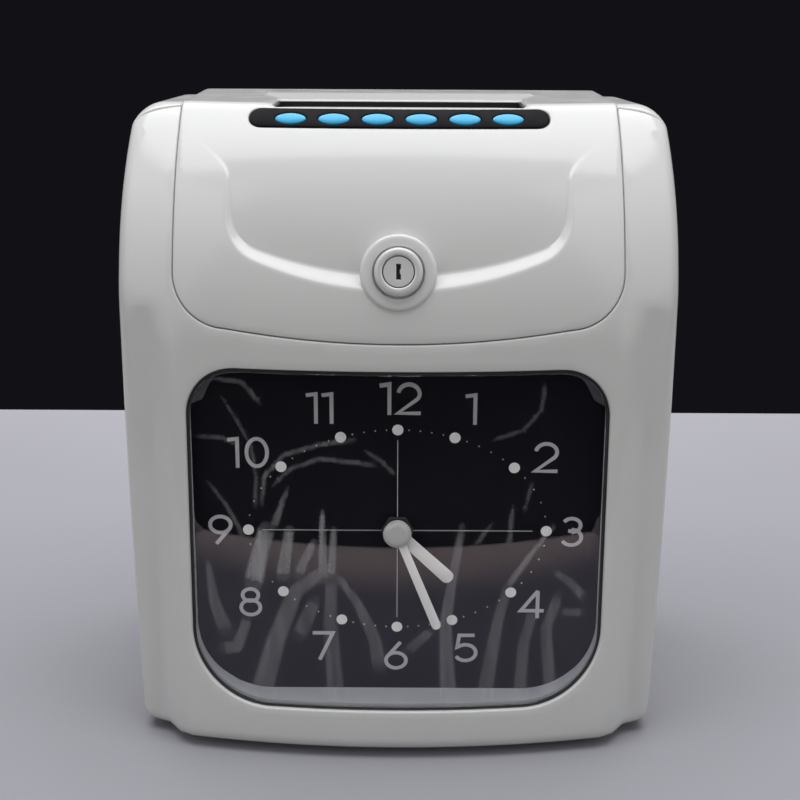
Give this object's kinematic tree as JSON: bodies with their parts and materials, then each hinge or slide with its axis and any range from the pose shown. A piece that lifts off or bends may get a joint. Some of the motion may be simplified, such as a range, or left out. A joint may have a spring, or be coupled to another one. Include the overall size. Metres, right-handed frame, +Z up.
{
  "type": "time clock",
  "caption": "Desk or wall time clock with a black dial behind a clear window, a hinged locking lid with a top card slot and blue keys, and a card feed and print works inside.",
  "frame": {"origin": "on the surface the feet stand on, under the middle of the case", "axes": "+Z up, +X to the right as the dial is read, the front with the dial faces -Y"},
  "size_m": [0.1934, 0.136, 0.2312],
  "materials": {
    "case_white": "glossy moulded",
    "foot_rubber": "matte",
    "clear_lens": "clear moulded acrylic",
    "surround_grey": "satin",
    "dial_black": "satin print",
    "hand_white": "satin paint",
    "cap_grey": "gloss",
    "movement_black": "matte",
    "brass": "turned",
    "coil_copper": "wound wire",
    "rotor_steel": "turned",
    "strip_black": "gloss",
    "key_blue": "gloss",
    "board_green": "solder mask",
    "component_black": "matte",
    "lock_satin": "satin plated",
    "bright_steel": "bright",
    "sheet_zinc": "zinc plated sheet",
    "guide_black": "matte",
    "roller_rubber": "ground",
    "pinch_grey": "matte",
    "gear_nylon": "natural",
    "motor_can": "drawn can",
    "head_alloy": "black anodised",
    "cartridge_black": "fine grain",
    "ribbon_ink": "inked weave",
    "knob_blue": "matte",
    "battery_green": "shrink sleeve",
    "jack_black": "matte"
  },
  "bodies": {
    "case": {"front_case": "case_white", "rear_case": "case_white", "feet": "foot_rubber", "case_screws": "bright_steel", "clock_lens": "clear_lens", "dial_surround": "surround_grey", "dial_plate": "dial_black", "movement_case": "movement_black", "movement_back": "movement_black", "movement_nut": "brass", "drive_coil": "coil_copper", "hinge_pins": "bright_steel", "chassis": "sheet_zinc", "mechanism_screws": "bright_steel", "card_guide_front": "guide_black", "card_guide_rear": "guide_black", "shaft_bushes": "brass", "feed_motor": "motor_can", "guide_rods": "bright_steel", "head_motor": "motor_can", "drive_belt": "roller_rubber", "ribbon_cartridge": "cartridge_black", "ribbon_tape": "ribbon_ink", "main_board": "board_green", "board_components": "component_black", "backup_battery": "battery_green", "power_jack": "jack_black"},
    "lid": {"top_lid": "case_white", "key_strip": "strip_black", "key_board": "board_green", "lock_barrel": "lock_satin", "lock_nut": "bright_steel"},
    "lock": {"lock_plug": "lock_satin", "lock_cam": "bright_steel", "cam_screw": "bright_steel"},
    "minute_train": {"minute_arbor": "brass", "minute_hand": "hand_white", "hand_cap": "cap_grey"},
    "hour_train": {"hour_wheel": "brass", "hour_hand": "hand_white"},
    "motion_train": {"motion_wheel": "brass"},
    "rotor_train": {"rotor": "rotor_steel"},
    "feed_train": {"feed_shaft": "bright_steel", "feed_rollers": "roller_rubber", "feed_gear": "gear_nylon"},
    "feed_pinion": {"motor_pinion": "brass"},
    "pinch": {"pinch_roller": "pinch_grey"},
    "print_carriage": {"carriage": "guide_black", "print_head": "head_alloy"},
    "head_pulley": {"drive_pulley": "bright_steel"},
    "idler": {"idler_pulley": "bright_steel"},
    "ribbon_winder": {"ribbon_knob": "knob_blue"},
    "key_button_1": {"key_1": "key_blue"},
    "key_button_2": {"key_2": "key_blue"},
    "key_button_3": {"key_3": "key_blue"},
    "key_button_4": {"key_4": "key_blue"},
    "key_button_5": {"key_5": "key_blue"},
    "key_button_6": {"key_6": "key_blue"}
  },
  "joints": [
    {"name": "lid_hinge", "type": "hinge", "parent": "case", "child": "lid", "pos_m": [0, 0.047, 0.2284], "axis": [-1, 0, 0], "range_deg": [0, 85]},
    {"name": "lock_turn", "type": "hinge", "parent": "lid", "child": "lock", "pos_m": [0, -0.05921, 0.176], "axis": [0, 0.9631, -0.269], "range_deg": [0, 90]},
    {"name": "key_1_press", "type": "slide", "parent": "lid", "child": "key_button_1", "axis": [0.0833, 0.6972, -0.7121], "range_m": [0, 0.001], "stiffness_N_per_m": 300},
    {"name": "key_2_press", "type": "slide", "parent": "lid", "child": "key_button_2", "axis": [0.05, 0.7003, -0.7121], "range_m": [0, 0.001], "stiffness_N_per_m": 300},
    {"name": "key_3_press", "type": "slide", "parent": "lid", "child": "key_button_3", "axis": [0.0167, 0.7019, -0.7121], "range_m": [0, 0.001], "stiffness_N_per_m": 300},
    {"name": "key_4_press", "type": "slide", "parent": "lid", "child": "key_button_4", "axis": [-0.0167, 0.7019, -0.7121], "range_m": [0, 0.001], "stiffness_N_per_m": 300},
    {"name": "key_5_press", "type": "slide", "parent": "lid", "child": "key_button_5", "axis": [-0.05, 0.7003, -0.7121], "range_m": [0, 0.001], "stiffness_N_per_m": 300},
    {"name": "key_6_press", "type": "slide", "parent": "lid", "child": "key_button_6", "axis": [-0.0833, 0.6972, -0.7121], "range_m": [0, 0.001], "stiffness_N_per_m": 300},
    {"name": "minute_spin", "type": "hinge", "parent": "case", "child": "minute_train", "pos_m": [0, -0.05142, 0.082], "axis": [0, 1, 0], "continuous": true},
    {"name": "hour_spin", "type": "hinge", "parent": "case", "child": "hour_train", "pos_m": [0, -0.05142, 0.082], "axis": [0, 1, 0], "continuous": true},
    {"name": "motion_spin", "type": "hinge", "parent": "case", "child": "motion_train", "pos_m": [0, -0.05142, 0.07], "axis": [0, 1, 0], "continuous": true},
    {"name": "rotor_spin", "type": "hinge", "parent": "case", "child": "rotor_train", "pos_m": [0.01071, -0.05142, 0.0661], "axis": [0, 1, 0], "continuous": true},
    {"name": "feed_spin", "type": "hinge", "parent": "case", "child": "feed_train", "pos_m": [0, -0.00864, 0.165], "axis": [1, 0, 0], "continuous": true},
    {"name": "pinion_spin", "type": "hinge", "parent": "case", "child": "feed_pinion", "pos_m": [0, 0.01691, 0.1471], "axis": [1, 0, 0], "continuous": true},
    {"name": "pinch_spin", "type": "hinge", "parent": "case", "child": "pinch", "pos_m": [0, -0.02464, 0.165], "axis": [1, 0, 0], "continuous": true},
    {"name": "carriage_slide", "type": "slide", "parent": "case", "child": "print_carriage", "axis": [1, 0, 0], "range_m": [-0.034, 0.034]},
    {"name": "head_pulley_spin", "type": "hinge", "parent": "case", "child": "head_pulley", "pos_m": [0.062, 0.02636, 0.18], "axis": [0, 1, 0], "range_deg": [-340, 340]},
    {"name": "idler_spin", "type": "hinge", "parent": "case", "child": "idler", "pos_m": [-0.062, 0.02636, 0.18], "axis": [0, 1, 0], "range_deg": [-340, 340]},
    {"name": "ribbon_winder_turn", "type": "hinge", "parent": "case", "child": "ribbon_winder", "pos_m": [-0.045, 0.02396, 0.2178], "axis": [0, 0, 1], "continuous": true}
  ],
  "couplings": [
    {"joint": "hour_spin", "follows": "minute_spin", "ratio": 0.083333},
    {"joint": "motion_spin", "follows": "minute_spin", "ratio": -0.33333},
    {"joint": "rotor_spin", "follows": "minute_spin", "ratio": 1.25},
    {"joint": "pinion_spin", "follows": "feed_spin", "ratio": -3.875},
    {"joint": "pinch_spin", "follows": "feed_spin", "ratio": -1},
    {"joint": "head_pulley_spin", "follows": "carriage_slide", "rad_per_m": 169.49},
    {"joint": "idler_spin", "follows": "carriage_slide", "rad_per_m": 169.49}
  ]
}
